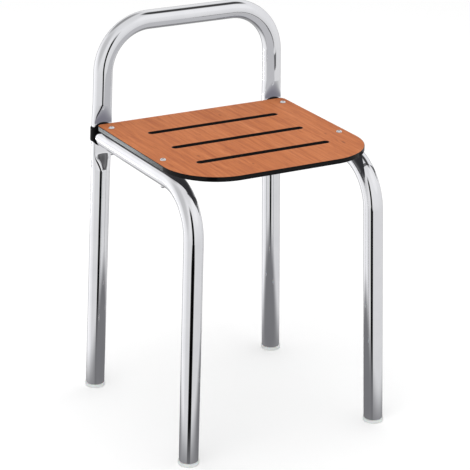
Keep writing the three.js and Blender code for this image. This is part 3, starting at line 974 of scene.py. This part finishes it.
# The shaded floor under the stool, as the lower legs reflect it.
SHADE_CENTRE = (0.0, -0.01, 0.0004)
SHADE_CORE, SHADE_EDGE = 0.20, 0.46
SHADE_COLOUR = (0.185, 0.185, 0.195)

# The seat as the tubes reflect it: its two faces, and how the shade below thins with the
# distance from a leg's top, which counts less behind, near the rear legs.
SEAT_ABOVE, SEAT_BELOW = (0.50, 0.50, 0.52), (0.03, 0.03, 0.033)
THIN_START, THIN_END, THIN_LEVEL = 0.04, 0.20, 0.60
REAR_REACH = 0.4
BAND_DROP, BAND_SETBACK, BAND_LEVEL = 0.035, 0.03, 0.85
GLOW_RADIUS, GLOW_CORE, GLOW_EDGE = 0.10, 0.006, 0.05
GLOW_COLOUR = (0.20, 0.195, 0.23)

# The bright strip that the seat's left edge mirrors, and how far it stands from that edge.
EDGE_STRIP_DISTANCE = 3.0
EDGE_STRIP_HALF_HEIGHT = 0.18
EDGE_STRIP_COLOUR = (11.28, 11.76, 12.0)
EDGE_STRIP_FULL = 0.1  # where it reaches full strength, as a part of its half length
EDGE_STRIP_OVERRUN = 1.2  # its rear end, as a part of the same


def sheet(name, corners, material):
    """One flat face with its own material."""
    mesh = bpy.data.meshes.new(name)
    mesh.from_pydata(corners, [], [list(range(len(corners)))])
    piece = bpy.data.objects.new(name, mesh)
    bpy.context.scene.collection.objects.link(piece)
    mesh.materials.append(material)
    return piece


def card(name, corners, level, mask, back_level=None):
    """A sheet that only reflections see."""
    piece = sheet(name, corners, veil(name, level, mask, back_level))
    for ray in ("camera", "diffuse", "shadow", "transmission", "volume_scatter"):
        setattr(piece, f"visible_{ray}", False)
    return piece


def rectangle(x_low, x_high, z_low, z_high):
    """The corners of an upright card that faces along Y."""
    return [(x_low, 0, z_low), (x_high, 0, z_low), (x_high, 0, z_high), (x_low, 0, z_high)]


def veil(name, level, mask, back_level):
    """A glow that fades to clear where its mask falls to 0. Its back can have its own level."""
    material = bpy.data.materials.new(name)
    material.use_nodes = True
    tree = material.node_tree
    tree.nodes.clear()
    glow = tree.nodes.new("ShaderNodeEmission")
    glow.inputs["Color"].default_value = (*level, 1.0)
    if back_level is not None:
        sides = tree.nodes.new("ShaderNodeMix")
        sides.data_type = "RGBA"
        tree.links.new(tree.nodes.new("ShaderNodeNewGeometry").outputs["Backfacing"], sides.inputs[0])
        sides.inputs[6].default_value = (*level, 1.0)
        sides.inputs[7].default_value = (*back_level, 1.0)
        tree.links.new(sides.outputs[2], glow.inputs["Color"])
    clear = tree.nodes.new("ShaderNodeBsdfTransparent")
    mix = tree.nodes.new("ShaderNodeMixShader")
    output = tree.nodes.new("ShaderNodeOutputMaterial")
    place = tree.nodes.new("ShaderNodeTexCoord").outputs["Object"]
    tree.links.new(mask(tree, place), mix.inputs[0])
    tree.links.new(clear.outputs[0], mix.inputs[1])
    tree.links.new(glow.outputs[0], mix.inputs[2])
    tree.links.new(mix.outputs[0], output.inputs[0])
    return material


def round_mask(core, edge):
    """Whole inside the core's radius, clear outside the edge's."""

    def mask(tree, place):
        distance = vector_node(tree, "LENGTH", place)["Value"]
        return smooth_step(tree, distance, core, edge, 1.0, 0.0)

    return mask


def floor():
    g = Graph("floor_paint")
    g.set(Base_Color=(0.93, 0.93, 0.93), Roughness=0.9, Specular_IOR_Level=0.0,
          Emission_Color=(1.0, 1.0, 1.0), Emission_Strength=FLOOR_GLOW)
    r = FLOOR_REACH
    piece = sheet("floor", [(-r, -r, 0), (r, -r, 0), (r, r, 0), (-r, r, 0)], g.material)
    piece.visible_glossy = False


def flag():
    toward = Vector((math.sin(CAMERA_AZIMUTH), -math.cos(CAMERA_AZIMUTH), 0))
    across = Vector((math.cos(CAMERA_AZIMUTH), math.sin(CAMERA_AZIMUTH), 0))
    centre = toward * FLAG_DISTANCE + across * FLAG_SIDESTEP

    def mask(tree, place):
        axes = split_axes(tree, place)
        off = math_node(tree, "ABSOLUTE", axes["X"])
        half = smooth_step(tree, axes["Z"], *FLAG_WAIST, FLAG_FOOT, FLAG_BODY)
        side = smooth_step(tree, math_node(tree, "DIVIDE", off, half), *FLAG_EDGE, 1.0, 0.0)
        height = smooth_step(tree, axes["Z"], FLAG_FADE, FLAG_TOP, 1.0, 0.0)
        return math_node(tree, "MULTIPLY", side, height)

    corners = rectangle(-FLAG_HALF_WIDTH, FLAG_HALF_WIDTH, FLAG_BOTTOM, FLAG_TOP)
    piece = card("flag", corners, FLAG_COLOUR, mask)
    piece.matrix_world = Matrix.Translation(centre) @ Matrix.Rotation(CAMERA_AZIMUTH, 4, "Z")


def floor_shade():
    r = SHADE_EDGE
    corners = [(-r, -r, 0), (r, -r, 0), (r, r, 0), (-r, r, 0)]
    piece = card("floor_shade", corners, SHADE_COLOUR, round_mask(SHADE_CORE, SHADE_EDGE))
    piece.location = SHADE_CENTRE


def seat_mask(tree, place):
    """Whole from above. From below it thins away from the tops of the legs."""
    shifted = vector_node(tree, "ADD", place, (0, 1, 0))[0]
    folded = vector_node(tree, "ABSOLUTE", shifted)[0]
    near = []
    for y, reach in ((FRONT_FOOT_Y + FRONT_LEG_LEAN * RAIL_Z, 1.0), (REAR_LEG_Y, REAR_REACH)):
        gap = vector_node(tree, "DISTANCE", folded, (RAIL_X, 1 + y, SEAT_LOW.z))["Value"]
        near.append(math_node(tree, "MULTIPLY", gap, reach))
    closest = math_node(tree, "MINIMUM", *near)
    shade = smooth_step(tree, closest, THIN_START, THIN_END, 1.0, THIN_LEVEL)
    geometry = tree.nodes.new("ShaderNodeNewGeometry")
    return math_node(tree, "MAXIMUM", geometry.outputs["Backfacing"], shade)


def band_mask(tree, _):
    """The same all over."""
    return math_node(tree, "ADD", BAND_LEVEL, 0.0)


def seat_cards():
    """The seat for reflections, a dark band under its front edge and a glow at each rear leg."""
    plan = [(x, y, SEAT_LOW.z) for (x, y), _ in reversed(outline_loop())]
    card("seat_shade", plan, SEAT_BELOW, seat_mask, SEAT_ABOVE)
    band = card("seat_shade_front", rectangle(-RAIL_X, 2 * RAIL_X, -BAND_DROP, 0), SEAT_BELOW, band_mask)
    band.location = (0, SEAT_LOW.y + BAND_SETBACK, SEAT_LOW.z)
    r = GLOW_RADIUS
    for side, sign in SIDES:
        corners = [(-r, -r, 0), (r, -r, 0), (r, 0, 0), (-r, 0, 0)]
        glow = card("seat_glow_" + side, corners, GLOW_COLOUR, round_mask(GLOW_CORE, GLOW_EDGE))
        glow.location = (sign * RAIL_X, REAR_LEG_Y - PRESS_FLAT, SEAT_HIGH.z)


def camera_place():
    az, el = CAMERA_AZIMUTH, CAMERA_ELEVATION
    toward = Vector((math.sin(az) * math.cos(el), -math.cos(az) * math.cos(el), math.sin(el)))
    return CAMERA_TARGET + toward * CAMERA_DISTANCE


def edge_strip():
    """A strip light beside the seat, where the camera sees it mirrored in the seat's left edge."""
    eye = camera_place()
    eye.x = 2 * SEAT_LOW.x - eye.x
    middle_z = (SEAT_LOW.z + SEAT_HIGH.z) / 2
    ends = []
    for y in (SEAT_LOW.y + SEAT_FRONT_CORNER, SEAT_HIGH.y - SEAT_REAR_CORNER):
        edge = Vector((SEAT_LOW.x, y, middle_z))
        ends.append(edge + (edge - eye) * EDGE_STRIP_DISTANCE / (eye.x - edge.x))
    front, rear = ends
    half = (rear.y - front.y) / 2
    h = EDGE_STRIP_HALF_HEIGHT
    tail = half * EDGE_STRIP_OVERRUN

    def mask(tree, place):
        return smooth_step(tree, split_axes(tree, place)["Y"], -half, half * EDGE_STRIP_FULL)

    strip = card("edge_strip", [(0, -half, -h), (0, tail, -h), (0, tail, h), (0, -half, h)],
                 EDGE_STRIP_COLOUR, mask)
    strip.location = (front + rear) / 2


# ---- World, lights and camera -------------------------------------------------------

SOFT_LIGHT = 0.84
# Softboxes: name, place, size and power.
LIGHTS = (("key", (-1.6, -1.2, 2.6), 2.2, 18), ("top", (0.6, 0.6, 3.0), 2.6, 16))
LIGHT_AIM = (0, 0, 0.3)
PATCH_TINT = 1.02  # the studio's blue over its red and green

# What the chrome sees of the studio, as level against sine of elevation.
STUDIO_HEIGHTS = [(-1.0, 0.25), (-0.87, 0.33), (-0.77, 0.44), (-0.57, 0.54), (-0.40, 0.68),
                  (0.0, 0.78), (0.6, 0.82), (1.0, 0.72)]
# Patches of it: azimuth, elevation, inner and outer radius in degrees, and level.
STUDIO_PATCHES = [
    (-100, 25, 14, 42, 0.56),
    (-170, 48, 8, 30, 0.30),
    (-140, -18, 14, 50, 0.88),
    (150, -5, 12, 40, 0.80),
    (150, -21, 12, 40, 0.34),
    (38, 38, 10, 30, 0.88),
    (118, -60, 6, 24, 0.25),
    (-148, -7, 13, 21, 1.02),
    (92, 61, 9, 20, 0.05),
]


def world():
    """Reflections see a studio of soft panels. Everything else gets an even, soft light."""
    made = bpy.data.worlds.new("studio")
    made.use_nodes = True
    bpy.context.scene.world = made
    tree = made.node_tree
    tree.nodes.clear()
    way = tree.nodes.new("ShaderNodeTexCoord").outputs["Generated"]
    halved = math_node(tree, "MULTIPLY", split_axes(tree, way)["Z"], 0.5)
    lifted = math_node(tree, "ADD", halved, 0.5)
    ramp = tree.nodes.new("ShaderNodeValToRGB")
    tree.links.new(lifted, ramp.inputs[0])
    marks = ramp.color_ramp.elements
    while len(marks) < len(STUDIO_HEIGHTS):
        marks.new(0.5)
    for mark, (height, level) in zip(marks, STUDIO_HEIGHTS):
        mark.position = (height + 1) / 2
        mark.color = (level, level, level * PATCH_TINT, 1)
    seen = ramp.outputs["Color"]
    for azimuth, elevation, inner, outer, level in STUDIO_PATCHES:
        a, e = math.radians(azimuth), math.radians(elevation)
        centre = (math.sin(a) * math.cos(e), -math.cos(a) * math.cos(e), math.sin(e))
        dot = vector_node(tree, "DOT_PRODUCT", way, centre)["Value"]
        mask = smooth_step(tree, dot, math.cos(math.radians(outer)), math.cos(math.radians(inner)))
        mix = tree.nodes.new("ShaderNodeMix")
        mix.data_type = "RGBA"
        tree.links.new(mask, mix.inputs[0])
        tree.links.new(seen, mix.inputs[6])
        mix.inputs[7].default_value = (level, level, level * PATCH_TINT, 1)
        seen = mix.outputs[2]
    studio = tree.nodes.new("ShaderNodeBackground")
    tree.links.new(seen, studio.inputs["Color"])
    soft = tree.nodes.new("ShaderNodeBackground")
    soft.inputs["Color"].default_value = (1.0, 1.0, 1.0, 1.0)
    soft.inputs["Strength"].default_value = SOFT_LIGHT
    path = tree.nodes.new("ShaderNodeLightPath")
    choose = tree.nodes.new("ShaderNodeMixShader")
    tree.links.new(path.outputs["Is Glossy Ray"], choose.inputs[0])
    tree.links.new(soft.outputs[0], choose.inputs[1])
    tree.links.new(studio.outputs[0], choose.inputs[2])
    output = tree.nodes.new("ShaderNodeOutputWorld")
    tree.links.new(choose.outputs[0], output.inputs["Surface"])


def softbox(name, place, size, power):
    data = bpy.data.lights.new(name, "AREA")
    data.shape = "RECTANGLE"
    data.size = data.size_y = size
    data.energy = power
    piece = bpy.data.objects.new(name, data)
    piece.location = place
    piece.rotation_euler = (Vector(LIGHT_AIM) - Vector(place)).to_track_quat("-Z", "Y").to_euler()
    piece.visible_glossy = False
    bpy.context.scene.collection.objects.link(piece)


def camera():
    data = bpy.data.cameras.new("camera")
    data.sensor_width = SENSOR
    data.lens = FOCAL_PIXELS * SENSOR / IMAGE_PIXELS
    data.clip_start, data.clip_end = 0.05, 200
    az, el = CAMERA_AZIMUTH, CAMERA_ELEVATION
    forward = Vector((-math.sin(az) * math.cos(el), math.cos(az) * math.cos(el), -math.sin(el)))
    right = Vector((math.cos(az), math.sin(az), 0))
    up = right.cross(forward)
    x_axis = math.cos(CAMERA_ROLL) * right + math.sin(CAMERA_ROLL) * up
    y_axis = -math.sin(CAMERA_ROLL) * right + math.cos(CAMERA_ROLL) * up
    matrix = Matrix((x_axis, y_axis, -forward)).transposed().to_4x4()
    matrix.translation = camera_place()
    piece = bpy.data.objects.new("camera", data)
    piece.matrix_world = matrix
    bpy.context.scene.collection.objects.link(piece)
    bpy.context.scene.camera = piece


floor()
flag()
floor_shade()
seat_cards()
edge_strip()
world()
for light in LIGHTS:
    softbox(*light)
camera()
bpy.context.scene.view_settings.view_transform = "Standard"
